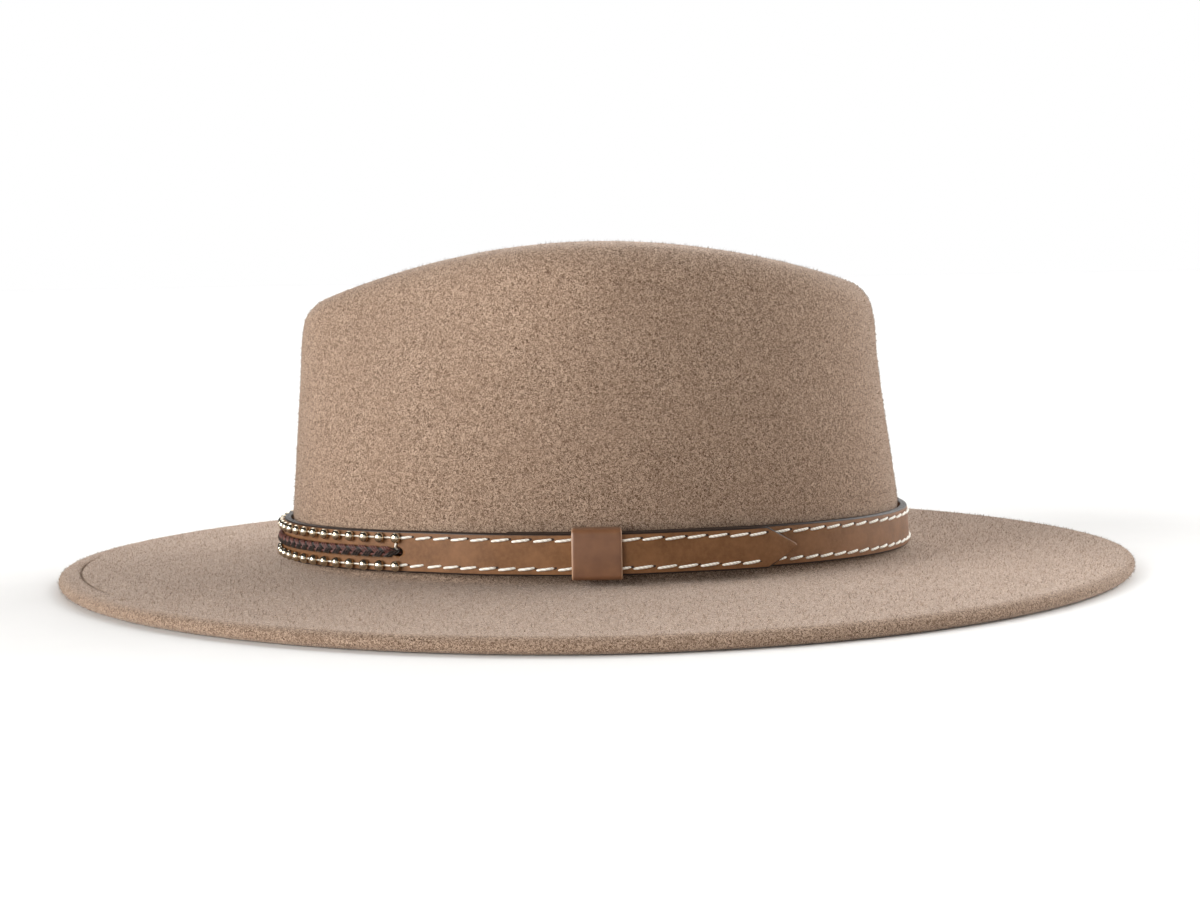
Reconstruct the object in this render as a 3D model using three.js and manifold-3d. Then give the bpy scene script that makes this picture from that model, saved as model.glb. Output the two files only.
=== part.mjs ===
import * as THREE from 'three';
import { mergeVertices } from 'three/addons/utils/BufferGeometryUtils.js';
import Module from 'manifold-3d';

const wasm = await Module();
wasm.setup();

// A wide-brimmed hat of wool felt with a pinched teardrop crown and a studded leather hatband.
// Units are millimetres and +Z is up. The front of the hat points to -X and the wearer's left
// side to -Y. The origin lies below the middle of the hat, on the surface that it rests on.

// Driving dimensions of the felt body
const feltThickness = 2.4;
const brimLength = 367;
const brimWidth = 336;
const brimExponent = 1.9; // 2 is a plain ellipse, less is a little more pointed at the ends
const edgeRadius = 2; // rounding of the folded brim edge
const weltWidth = 8; // how far the edge of the brim is turned under
const crownLength = 210.5; // outside of the crown at the break, where the brim turns up
const crownWidth = 171;
const breakHeightFront = 6.6;
const breakHeightSide = 9.4;
const breakHeightBack = 7.4;
const breakCurve = 1.5; // 2 rounds the dips of the break at front and back, less narrows them
const crownHeight = 111.5; // highest point of the ridge round the dent
const ridgeFallFront = 17.5; // how far the ridge comes down towards the front
const ridgeFallBack = 14;
const ridgeInsetFront = 14.5; // how far the ridge lies inside the break
const ridgeInsetSide = 20;
const ridgeInsetBack = 21;
const pinchDepth = 19; // how far each side of the front is pressed in
const pinchAngle = 47; // degrees from the front of the crown to the middle of the pinch
const pinchSpread = 48; // degrees from the middle of the pinch to where it ends
const dentDepth = 27;
const dentCentre = 12; // how far the deepest point lies behind the middle of the hat

// Driving dimensions of the leather hatband
const strapHeight = 13;
const strapThickness = 2.4;
const strapGap = 0.65; // between the strap and the felt, and below the strap at the break
const strapEdge = 0.5; // chamfer of the painted edges
const lapGap = 0.3; // between two layers of leather
const tipPlace = 59.6; // how far behind the middle of the hat the pointed end reaches
const tipLength = 10;
const tipHeight = 1.7; // the pointed end is blunt by this much
const lapPlace = 27; // how far in front of the middle the covered end starts
const lapRamp = 30; // length over which the strap climbs onto its covered end
const keeperWidth = 14.8;
const keeperThickness = 1;
const keeperRamp = 22; // length over which the strap comes away from the felt on each side

// Driving dimensions of the studs and the braid
const studDiameter = 2.8;
const studHeight = 1.3;
const studPitch = 6.4;
const studShoulderRadius = 1.1; // a head turns from its side to its crown at this radius
const studShoulderHeight = 0.85;
const seamInset = 2.1; // from the edge of the strap to the row of studs
const threadWidth = 0.7;
const threadThickness = 0.4;
const threadLift = 0.1; // the thread leaves the leather by this much between the studs
const trimGap = 0.15; // between the strap and what lies on it
const holePlace = 61.2; // how far in front of the middle the braid's holes and the first studs are
const holeLength = 4.8;
const holeHeight = 4;
const braidHeight = 3.3;
const braidThickness = 1.7;
const braidPitch = 5; // one crossing of the strands
const braidBend = 1.3; // radius of its bend into the holes
const braidEndShare = 0.85; // size of its ends, as a share of the braid's size
const braidBulge = 0.12; // how much a crossing stands out, as a share of the braid's size

// Numbers of facets
const segments = 52;
const strapStep = 13; // length of a facet of the strap
const studSides = 10;
const braidSides = 8;
const holeSides = 12;
const bendSteps = 3;

// One row for each ring of the brim, from the welt's inner line to the break. Across is a share of
// that way in, and rise a share of the climb from the top of the welt to the break.
const brimRows = [
  { across: 0.0, rise: 0.0 },
  { across: 0.3, rise: 0.07 },
  { across: 0.56, rise: 0.16 },
  { across: 0.77, rise: 0.23 },
  { across: 0.89, rise: 0.34 },
  { across: 0.945, rise: 0.46 },
  { across: 0.98, rise: 0.67 },
];

// One row for each ring of the crown wall, from the break up to the ridge. Height is a share of the
// wall's height. Front, side and back are shares of the ridge's inset there, and pinch is a share of
// the pinch's depth.
const wallRows = [
  { height: 0.0, front: 0.0, side: 0.0, back: 0.0, pinch: 0.0 },
  { height: 0.17, front: 0.05, side: 0.04, back: 0.05, pinch: 0.0 },
  { height: 0.36, front: 0.14, side: 0.1, back: 0.16, pinch: 0.06 },
  { height: 0.55, front: 0.23, side: 0.17, back: 0.28, pinch: 0.26 },
  { height: 0.72, front: 0.31, side: 0.23, back: 0.37, pinch: 0.58 },
  { height: 0.86, front: 0.37, side: 0.28, back: 0.42, pinch: 0.92 },
  { height: 0.93, front: 0.46, side: 0.35, back: 0.5, pinch: 1.02 },
  { height: 0.98, front: 0.71, side: 0.6, back: 0.69, pinch: 0.99 },
  { height: 1.0, front: 1.0, side: 1.0, back: 1.0, pinch: 0.92 },
];

// One row for each ring inside the ridge. Across is a share of the way from the ridge to the
// middle of the dent, and drop a share of the way down to its floor.
const dentRows = [
  { across: 0.1, drop: 0.06 },
  { across: 0.2, drop: 0.22 },
  { across: 0.32, drop: 0.47 },
  { across: 0.47, drop: 0.73 },
  { across: 0.68, drop: 0.93 },
];

const felt = new THREE.MeshStandardMaterial({ color: 0xa58b78, roughness: 0.95, metalness: 0 });
const strapLeather = new THREE.MeshStandardMaterial({ color: 0x8a5c3c, roughness: 0.5, metalness: 0 });
const keeperLeather = new THREE.MeshStandardMaterial({ color: 0x7d4f38, roughness: 0.45, metalness: 0 });
const nickel = new THREE.MeshStandardMaterial({ color: 0xd9d4cb, roughness: 0.25, metalness: 1 });
const waxedCord = new THREE.MeshStandardMaterial({ color: 0x2e2323, roughness: 0.6, metalness: 0 });

const fullTurn = 2 * Math.PI;
const quarterTurn = Math.PI / 2;
const frontAngle = Math.PI;
const probeAngle = 0.01; // for slopes and lengths
const halvings = 40; // of an angle's range, to find a place on the strap
const mergeDistance = 1e-4;

function mix(a, b, share) {
  return a + (b - a) * share;
}

function smooth(share) {
  const t = Math.min(1, Math.max(0, share));
  return t * t * (3 - 2 * t);
}

// Point of an oval round the origin, in plan
function oval(angle, front, back, half, exponent) {
  const c = Math.cos(angle);
  const s = Math.sin(angle);
  const reach = c < 0 ? front : back;
  const x = Math.sign(c) * Math.abs(c) ** (2 / exponent) * reach;
  const y = Math.sign(s) * Math.abs(s) ** (2 / exponent) * half;
  return new THREE.Vector3(x, y, 0);
}

function brimEdge(angle) {
  return oval(angle, brimLength / 2, brimLength / 2, brimWidth / 2, brimExponent);
}

function breakLine(angle) {
  const point = oval(angle, crownLength / 2, crownLength / 2, crownWidth / 2, 2);
  const end = Math.cos(angle) < 0 ? breakHeightFront : breakHeightBack;
  point.z = mix(end, breakHeightSide, Math.abs(Math.sin(angle)) ** breakCurve);
  return point;
}

// The ridge before its front is pinched
function ridgeLine(angle) {
  const front = crownLength / 2 - ridgeInsetFront;
  const back = crownLength / 2 - ridgeInsetBack;
  const point = oval(angle, front, back, crownWidth / 2 - ridgeInsetSide, 2);
  const fall = Math.cos(angle) < 0 ? ridgeFallFront : ridgeFallBack;
  point.z = crownHeight - fall * Math.cos(angle) ** 2;
  return point;
}

// 1 in the middle of the pinch on each side, and 0 from its spread outwards
function pinchWindow(angle) {
  const fromFront = THREE.MathUtils.radToDeg(Math.acos(-Math.cos(angle)));
  const away = Math.abs(fromFront - pinchAngle) / pinchSpread;
  return away < 1 ? Math.cos(away * quarterTurn) ** 2 : 0;
}

function wallPoint(angle, row) {
  const foot = breakLine(angle);
  const top = ridgeLine(angle);
  const end = Math.cos(angle) < 0 ? row.front : row.back;
  const inset = mix(row.side, end, Math.cos(angle) ** 2);
  const squeeze = pinchDepth * row.pinch * pinchWindow(angle);
  return new THREE.Vector3(
    mix(foot.x, top.x, inset),
    mix(foot.y, top.y, inset) - Math.sign(foot.y) * squeeze,
    mix(foot.z, top.z, row.height),
  );
}

function dentPoint(angle, row) {
  const ridge = wallPoint(angle, wallRows[wallRows.length - 1]);
  return new THREE.Vector3(
    mix(ridge.x, dentCentre, row.across),
    mix(ridge.y, 0, row.across),
    mix(ridge.z, crownHeight - dentDepth, row.drop),
  );
}

// Point of the brim's edge fold, at a distance in from the edge and a height
function weltPoint(angle, distance, height) {
  const edge = brimEdge(angle);
  const inward = breakLine(angle).sub(edge).setZ(0).normalize();
  return edge.addScaledVector(inward, distance).setZ(height);
}

function brimPoint(angle, row) {
  const outer = weltPoint(angle, weltWidth, 2 * feltThickness);
  const inner = breakLine(angle);
  return new THREE.Vector3(
    mix(outer.x, inner.x, row.across),
    mix(outer.y, inner.y, row.across),
    mix(outer.z, inner.z, row.rise),
  );
}

function ring(pointAt) {
  return Array.from({ length: segments }, (_, i) => pointAt((fullTurn * i) / segments));
}

// Closed surface from a list of rings or sections of equal length. An end is closed to its
// middle point, or to the point that is given for it.
function loft(sections, startPoint, endPoint) {
  const count = sections[0].length;
  const middle = (list) =>
    list.reduce((sum, p) => sum.add(p), new THREE.Vector3()).divideScalar(list.length);
  const first = startPoint ?? middle(sections[0]);
  const last = endPoint ?? middle(sections[sections.length - 1]);
  const points = [...sections.flat(), first, last];
  const index = [];
  for (let row = 0; row + 1 < sections.length; row += 1) {
    for (let i = 0; i < count; i += 1) {
      const a = row * count + i;
      const b = row * count + ((i + 1) % count);
      index.push(a, a + count, b, b, a + count, b + count);
    }
  }
  const lastRow = (sections.length - 1) * count;
  for (let i = 0; i < count; i += 1) {
    const next = (i + 1) % count;
    index.push(points.length - 2, i, next);
    index.push(points.length - 1, lastRow + next, lastRow + i);
  }
  const geometry = new THREE.BufferGeometry().setFromPoints(points);
  geometry.setIndex(index);
  return geometry;
}

function toSolid(geometry) {
  const bare = geometry.clone();
  bare.deleteAttribute('normal');
  bare.deleteAttribute('uv');
  const merged = mergeVertices(bare, mergeDistance);
  const vertProperties = new Float32Array(merged.attributes.position.array);
  const triVerts = new Uint32Array(merged.index.array);
  return new wasm.Manifold(new wasm.Mesh({ numProp: 3, vertProperties, triVerts }));
}

function toGeometry(solid) {
  const { vertProperties, triVerts } = solid.getMesh();
  const geometry = new THREE.BufferGeometry();
  geometry.setAttribute('position', new THREE.BufferAttribute(vertProperties, 3));
  geometry.setIndex(new THREE.BufferAttribute(triVerts, 1));
  return geometry;
}

function piece(name, geometry, material) {
  geometry.computeVertexNormals();
  const mesh = new THREE.Mesh(geometry, material);
  mesh.name = name;
  return mesh;
}

// Felt body: one sheet of felt, from the middle of the dent over the ridge and down the wall, out
// along the brim, round the folded edge and back along the inside.
function feltBody() {
  const outside = [
    ...brimRows.map((row) => ring((angle) => brimPoint(angle, row))),
    ...wallRows.map((row) => ring((angle) => wallPoint(angle, row))),
    ...dentRows.map((row) => ring((angle) => dentPoint(angle, row))),
  ];
  const floor = new THREE.Vector3(dentCentre, 0, crownHeight - dentDepth);
  const inside = outside.map((points, row) =>
    points.map((point, i) => {
      const before = outside[row - 1]?.[i] ?? point;
      const after = outside[row + 1]?.[i] ?? floor;
      const left = points[(i + segments - 1) % segments];
      const right = points[(i + 1) % segments];
      const up = after.clone().sub(before);
      const inward = up.cross(right.clone().sub(left)).normalize();
      return point.clone().addScaledVector(inward, feltThickness);
    }),
  );
  inside[0] = ring((angle) => weltPoint(angle, weltWidth, feltThickness));
  const top = 2 * feltThickness;
  const diagonal = edgeRadius * (1 - Math.SQRT1_2);
  const foldTop = [
    ring((angle) => weltPoint(angle, edgeRadius, top)),
    ring((angle) => weltPoint(angle, diagonal, top - diagonal)),
    ring((angle) => weltPoint(angle, 0, top - edgeRadius)),
  ];
  const foldUnder = [
    ring((angle) => weltPoint(angle, 0, edgeRadius)),
    ring((angle) => weltPoint(angle, diagonal, diagonal)),
    ring((angle) => weltPoint(angle, edgeRadius, 0)),
    ring((angle) => weltPoint(angle, weltWidth, 0)),
  ];
  const sheet = [...outside.reverse(), ...foldTop, ...foldUnder, ...inside];
  const floorInside = floor.clone().setZ(floor.z - feltThickness);
  return loft(sheet, floor, floorInside);
}

// Point of the crown wall at a height near the strap, read between the rings of the wall
function wallAt(angle, height) {
  let upper = 1;
  while (upper + 1 < wallRows.length && wallPoint(angle, wallRows[upper]).z < height) {
    upper += 1;
  }
  const a = wallPoint(angle, wallRows[upper - 1]);
  const b = wallPoint(angle, wallRows[upper]);
  return a.lerp(b, (height - a.z) / (b.z - a.z));
}

function strapMiddle(angle) {
  return breakLine(angle).z + strapGap + strapHeight / 2;
}

// Outward direction of the crown wall in plan, at the height of the strap
function outward(angle) {
  const height = strapMiddle(angle);
  const along = wallAt(angle + probeAngle, height).sub(wallAt(angle - probeAngle, height));
  return new THREE.Vector3(along.y, -along.x, 0).normalize();
}

// Point at a distance out from the felt and a height above the middle of the strap
function strapPoint(angle, distance, above) {
  const point = wallAt(angle, strapMiddle(angle) + above);
  return point.addScaledVector(outward(angle), distance);
}

// Angle on the wearer's left side at which the strap has the given x
function leftAngle(x) {
  let low = frontAngle;
  let high = fullTurn;
  for (let i = 0; i < halvings; i += 1) {
    const half = (low + high) / 2;
    if (strapPoint(half, strapGap, 0).x < x) low = half;
    else high = half;
  }
  return (low + high) / 2;
}

// Angle that lies a given length of strap further round
function travel(angle, length) {
  const step = Math.sign(length);
  let here = angle;
  for (let done = 0; done < Math.abs(length); done += 1) {
    const part = Math.min(1, Math.abs(length) - done) * step;
    const ahead = strapPoint(here + probeAngle, strapGap, 0);
    here += (probeAngle / ahead.distanceTo(strapPoint(here, strapGap, 0))) * part;
  }
  return here;
}

// Length of strap between two angles
function travelled(from, to) {
  const steps = Math.ceil((to - from) / probeAngle);
  let length = 0;
  for (let i = 0; i < steps; i += 1) {
    const here = strapPoint(mix(from, to, i / steps), strapGap, 0);
    length += here.distanceTo(strapPoint(mix(from, to, (i + 1) / steps), strapGap, 0));
  }
  return length;
}

const keeperAngle = leftAngle(0);
const lapStart = leftAngle(-lapPlace);
const lapEnd = leftAngle(tipPlace) + fullTurn;
const rampStart = travel(lapStart, -lapRamp) + fullTurn;
const keeperReach = travel(keeperAngle, keeperWidth / 2 + keeperRamp) - keeperAngle;
const keeperHalf = travel(keeperAngle, keeperWidth / 2) - keeperAngle;

// Angle of the braid's hole on the wearer's left side. Its other hole mirrors it.
const braidHole = leftAngle(-holePlace);

// Distance of the strap's inner face from the felt: it makes room for the back of the keeper, and
// its last stretch lies on its covered end.
function strapDistance(turn) {
  const fromKeeper = Math.abs((turn % fullTurn) - keeperAngle);
  const nearKeeper = 1 - smooth((fromKeeper - keeperHalf) / (keeperReach - keeperHalf));
  const onLap = smooth((turn - rampStart) / (lapStart + fullTurn - rampStart));
  return strapGap + nearKeeper * (keeperThickness + lapGap) + onLap * (strapThickness + lapGap);
}

// Section of a strip of leather, with its edges chamfered
function stripSection(angle, inner, thickness, height, edge) {
  const half = height / 2;
  const corners = [
    [edge, -half],
    [thickness - edge, -half],
    [thickness, edge - half],
    [thickness, half - edge],
    [thickness - edge, half],
    [edge, half],
    [0, half - edge],
    [0, edge - half],
  ];
  return corners.map(([out, above]) => strapPoint(angle, inner + out, above));
}

function sweep(from, to, step, sectionAt) {
  const length = (to - from) * crownLength / 2;
  const count = Math.max(2, Math.round(length / step));
  return Array.from({ length: count + 1 }, (_, i) => sectionAt(mix(from, to, i / count)));
}

// Strap: one strip that goes once round the crown and laps over its own start, with a pointed end
// and two holes for the braid.
function hatbandStrap() {
  const section = (turn, share = 1) => {
    const height = mix(tipHeight, strapHeight, share);
    return stripSection(turn, strapDistance(turn), strapThickness, height, strapEdge);
  };
  const tipCorner = travel(lapEnd - fullTurn, -tipLength) + fullTurn;
  const strip = sweep(lapStart, tipCorner, strapStep, (turn) => section(turn));
  strip.push(section((tipCorner + lapEnd) / 2, 0.5), section(lapEnd, 0));
  let solid = toSolid(loft(strip));
  for (const angle of [braidHole, -braidHole]) {
    solid = solid.subtract(toSolid(holeCutter(angle)));
  }
  return toGeometry(solid);
}

function placeOutward(geometry, point, angle) {
  const out = outward(angle);
  const turn = new THREE.Quaternion().setFromUnitVectors(new THREE.Vector3(1, 0, 0), out);
  return geometry.applyQuaternion(turn).translate(point.x, point.y, point.z);
}

function holeCutter(angle) {
  const reach = 3 * strapThickness;
  const cutter = new THREE.CylinderGeometry(0.5, 0.5, reach, holeSides);
  cutter.rotateZ(-quarterTurn).scale(1, holeLength, holeHeight);
  return placeOutward(cutter, strapPoint(angle, strapGap + strapThickness / 2, 0), angle);
}

// Keeper: a loop of leather round both layers of the strap
function keeperLoop() {
  const inner = strapGap;
  const room = 2 * strapThickness + 3 * lapGap;
  const depth = room + 2 * keeperThickness;
  const height = strapHeight + 2 * lapGap;
  const from = keeperAngle - keeperHalf;
  const to = keeperAngle + keeperHalf;
  const over = travel(to, keeperThickness) - to;
  const outerHeight = height + 2 * keeperThickness;
  const outer = sweep(from, to, strapStep, (angle) =>
    stripSection(angle, inner, depth, outerHeight, keeperThickness / 2));
  const hole = sweep(from - over, to + over, strapStep, (angle) =>
    stripSection(angle, inner + keeperThickness, room, height, strapEdge / 2));
  return toGeometry(toSolid(loft(outer)).subtract(toSolid(loft(hole))));
}

// Studs: domed heads on their seam thread, in one row round the front
function studRow(above) {
  const face = (turn) => strapDistance(turn) + strapThickness + trimGap;
  const length = travelled(fullTurn - braidHole, braidHole);
  const count = Math.round(length / studPitch);
  const all = Array.from({ length: count + 1 }, (_, i) =>
    travel(fullTurn - braidHole, (length * i) / count));
  const thread = sweep(all[0], all[count], studPitch, (angle) => {
    const low = face(angle) + threadLift;
    const high = low + threadThickness;
    const half = threadWidth / 2;
    return [
      strapPoint(angle, low, above - half),
      strapPoint(angle, high, above),
      strapPoint(angle, low, above + half),
    ];
  });
  let solid = toSolid(loft(thread));
  const radius = studDiameter / 2;
  const profile = [
    new THREE.Vector2(0, 0),
    new THREE.Vector2(radius, 0),
    new THREE.Vector2(studShoulderRadius, studShoulderHeight),
    new THREE.Vector2(0, studHeight),
  ];
  for (const angle of all) {
    const dome = new THREE.LatheGeometry(profile, studSides);
    dome.rotateZ(-quarterTurn);
    solid = solid.add(toSolid(placeOutward(dome, strapPoint(angle, face(angle), above), angle)));
  }
  return toGeometry(solid);
}

// Braid: one thick bundle along the middle of the strap, bent through the holes at its ends
function frontBraid() {
  const lie = strapThickness + trimGap + braidThickness / 2;
  const sections = [];
  const station = (angle, out, turned, swell) => {
    const centre = strapPoint(angle, strapDistance(angle) + out, 0);
    const side = outward(angle);
    const along = new THREE.Vector3(side.y, -side.x, 0);
    const across = side.clone().multiplyScalar(Math.cos(turned));
    across.addScaledVector(along, Math.sin(turned));
    return Array.from({ length: braidSides }, (_, i) => {
      const around = (fullTurn * i) / braidSides;
      const point = centre.clone();
      point.addScaledVector(across, (Math.cos(around) * braidThickness * swell) / 2);
      return point.setZ(point.z + (Math.sin(around) * braidHeight * swell) / 2);
    });
  };
  const nearBend = travel(braidHole, -braidBend);
  const farBend = fullTurn - nearBend;
  const bent = (i) => {
    const turned = (quarterTurn * (bendSteps - i)) / bendSteps;
    const back = braidBend * (1 - Math.sin(turned));
    return { turned, angle: travel(braidHole, -back), out: lie - braidBend * (1 - Math.cos(turned)) };
  };
  for (let i = 0; i <= bendSteps; i += 1) {
    const { turned, angle, out } = bent(i);
    sections.push(station(angle, out, -turned, braidEndShare));
  }
  const count = 2 * Math.round(((nearBend - farBend) * crownWidth) / 2 / braidPitch);
  for (let i = 1; i < count; i += 1) {
    const swell = i % 2 ? 1 + braidBulge / 2 : 1 - braidBulge / 2;
    sections.push(station(mix(nearBend, farBend, i / count), lie, 0, swell));
  }
  for (let i = bendSteps; i >= 0; i -= 1) {
    const { turned, angle, out } = bent(i);
    sections.push(station(fullTurn - angle, out, turned, braidEndShare));
  }
  return loft(sections.reverse());
}

const rowHeight = strapHeight / 2 - seamInset;

const hat = new THREE.Group();
hat.name = 'felt_hat';
const hatband = new THREE.Group();
hatband.name = 'hatband';
hat.add(piece('felt_body', feltBody(), felt));
hatband.add(piece('hatband_strap', hatbandStrap(), strapLeather));
hatband.add(piece('keeper_loop', keeperLoop(), keeperLeather));
hatband.add(piece('stud_row_upper', studRow(rowHeight), nickel));
hatband.add(piece('stud_row_lower', studRow(-rowHeight), nickel));
hatband.add(piece('front_braid', frontBraid(), waxedCord));
hat.add(hatband);

export default hat;
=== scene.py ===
"""A wide-brimmed felt hat with a pinched teardrop crown and a stitched, studded leather hatband."""

import math

import bmesh
import bpy
import numpy as np
from mathutils import Euler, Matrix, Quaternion, Vector


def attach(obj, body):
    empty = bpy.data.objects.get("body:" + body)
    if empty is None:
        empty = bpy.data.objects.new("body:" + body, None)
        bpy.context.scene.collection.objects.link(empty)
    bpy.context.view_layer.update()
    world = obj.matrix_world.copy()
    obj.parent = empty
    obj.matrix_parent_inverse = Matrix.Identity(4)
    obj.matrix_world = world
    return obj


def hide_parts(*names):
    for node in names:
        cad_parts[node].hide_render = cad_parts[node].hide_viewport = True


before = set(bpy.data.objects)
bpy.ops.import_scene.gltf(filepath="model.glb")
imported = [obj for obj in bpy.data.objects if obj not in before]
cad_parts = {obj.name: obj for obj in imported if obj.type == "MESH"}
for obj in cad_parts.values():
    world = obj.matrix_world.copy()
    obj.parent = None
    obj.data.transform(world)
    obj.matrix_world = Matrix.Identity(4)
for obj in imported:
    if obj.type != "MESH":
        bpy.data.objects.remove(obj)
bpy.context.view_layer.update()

# Felt body: one sheet of stiffened wool felt, steamed over a block into a crown with a teardrop
# dent and a pinch on each side of its front. The edge of the wide brim is turned under, pressed
# and ironed round. Near the front, on the wearer's left, a fine line shows where the layers end.
MM = 0.001
TURN = 2 * math.pi
FELT = 2.4
BRIM_LENGTH = 367
BRIM_WIDTH = 336
BRIM_EXPONENT = 1.9
ROUND_TOP, ROUND_UNDER = 3.6, 2.4  # how far in the edge is rounded, above and below
WELT_WIDTH = 8
LINE_PLACE = 7.4  # of the fine line, in from the edge
LINE_HALF = 0.45
LINE_DEPTH = 0.3
LINE_PAINTED_SHADE = 0.5  # painted shade in the line, as a share of its dark colour: the line is too narrow to show its shade by its depth alone
LINE_MIDDLE = 13  # degrees from the front to the wearer's left
LINE_REACH, LINE_FADE = 9, 13  # degrees to each side of its middle, and on to where it ends
CROWN_LENGTH = 210.5
CROWN_WIDTH = 171
BREAK_FRONT, BREAK_SIDE, BREAK_BACK = 6.6, 9.4, 7.4
BREAK_CURVE = 1.5
CROWN_HEIGHT = 111.5
RIDGE_FALL_FRONT, RIDGE_FALL_BACK = 17.5, 14
RIDGE_INSET_FRONT, RIDGE_INSET_SIDE, RIDGE_INSET_BACK = 14.5, 20, 21
PINCH_DEPTH = 19
PINCH_ANGLE = 47  # degrees from the front
PINCH_SPREAD = 48
DENT_DEPTH = 27
DENT_CENTRE = 12
FELT_COLUMNS = 360
FELT_STEP = 1.6  # between two rings of the felt's outside

# across, rise
BRIM_ROWS = np.array([
    (0.0, 0.0), (0.3, 0.07), (0.56, 0.16), (0.77, 0.23), (0.89, 0.34), (0.945, 0.46), (0.98, 0.67),
])
# height, front, side, back, pinch
WALL_ROWS = np.array([
    (0.0, 0.0, 0.0, 0.0, 0.0),
    (0.17, 0.05, 0.04, 0.05, 0.0),
    (0.36, 0.14, 0.1, 0.16, 0.06),
    (0.55, 0.23, 0.17, 0.28, 0.26),
    (0.72, 0.31, 0.23, 0.37, 0.58),
    (0.86, 0.37, 0.28, 0.42, 0.92),
    (0.93, 0.46, 0.35, 0.5, 1.02),
    (0.98, 0.71, 0.6, 0.69, 0.99),
    (1.0, 1.0, 1.0, 1.0, 0.92),
])
# across, drop
DENT_ROWS = np.array([
    (0.1, 0.06), (0.2, 0.22), (0.32, 0.47), (0.47, 0.73), (0.68, 0.93), (0.88, 0.99),
])


def mix(a, b, share):
    return a + (b - a) * share


def smooth(share):
    t = np.clip(share, 0, 1)
    return t * t * (3 - 2 * t)


def oval(a, length, width, exponent=2):
    c, s = np.cos(a), np.sin(a)
    x = np.sign(c) * np.abs(c) ** (2 / exponent) * length / 2
    y = np.sign(s) * np.abs(s) ** (2 / exponent) * width / 2
    return np.stack([x, y, np.zeros_like(x)], -1)


def break_line(a):
    point = oval(a, CROWN_LENGTH, CROWN_WIDTH)
    end = np.where(np.cos(a) < 0, BREAK_FRONT, BREAK_BACK)
    point[..., 2] = mix(end, BREAK_SIDE, np.abs(np.sin(a)) ** BREAK_CURVE)
    return point


def ridge_line(a):
    inset = np.where(np.cos(a) < 0, RIDGE_INSET_FRONT, RIDGE_INSET_BACK)
    point = oval(a, CROWN_LENGTH - 2 * inset, CROWN_WIDTH - 2 * RIDGE_INSET_SIDE)
    fall = np.where(np.cos(a) < 0, RIDGE_FALL_FRONT, RIDGE_FALL_BACK)
    point[..., 2] = CROWN_HEIGHT - fall * np.cos(a) ** 2
    return point


def wall(a, height):
    """Point of the crown wall at a share of its height."""
    front, side, back, pinch = (np.interp(height, WALL_ROWS[:, 0], WALL_ROWS[:, k]) for k in range(1, 5))
    foot, top = break_line(a), ridge_line(a)
    inset = mix(side, np.where(np.cos(a) < 0, front, back), np.cos(a) ** 2)
    away = np.abs(np.degrees(np.arccos(-np.cos(a))) - PINCH_ANGLE) / PINCH_SPREAD
    squeeze = PINCH_DEPTH * pinch * np.where(away < 1, np.cos(away * TURN / 4) ** 2, 0)
    return np.stack([
        mix(foot[..., 0], top[..., 0], inset),
        mix(foot[..., 1], top[..., 1], inset) - np.sign(foot[..., 1]) * squeeze,
        mix(foot[..., 2], top[..., 2], height),
    ], -1)


def welt(a, distance, height):
    """Point at a distance in from the brim's edge."""
    edge = oval(a, BRIM_LENGTH, BRIM_WIDTH, BRIM_EXPONENT)
    inward = (break_line(a) - edge) * (1, 1, 0)
    point = edge + inward / np.linalg.norm(inward, axis=-1, keepdims=True) * distance
    point[..., 2] = height
    return point


def finer(rings, step):
    """Rings on a smooth curve through the given ones, at most a step apart."""
    rings = np.array(rings)
    chord = np.linalg.norm(np.diff(rings, axis=0), axis=2).mean(1)[:, None, None]
    slope = np.diff(rings, axis=0) / chord
    inner = (slope[:-1] * chord[1:] + slope[1:] * chord[:-1]) / (chord[1:] + chord[:-1])
    tangent = np.concatenate([slope[:1], inner, slope[-1:]])
    made = []
    for k, length in enumerate(chord[:, 0, 0]):
        count = math.ceil(length / step)
        for t in np.arange(count) / count:
            made.append(
                rings[k] * (2 * t**3 - 3 * t**2 + 1) + tangent[k] * length * (t**3 - 2 * t**2 + t)
                + rings[k + 1] * (3 * t**2 - 2 * t**3) + tangent[k + 1] * length * (t**3 - t**2)
            )
    return np.array(made + [rings[-1]])


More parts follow.
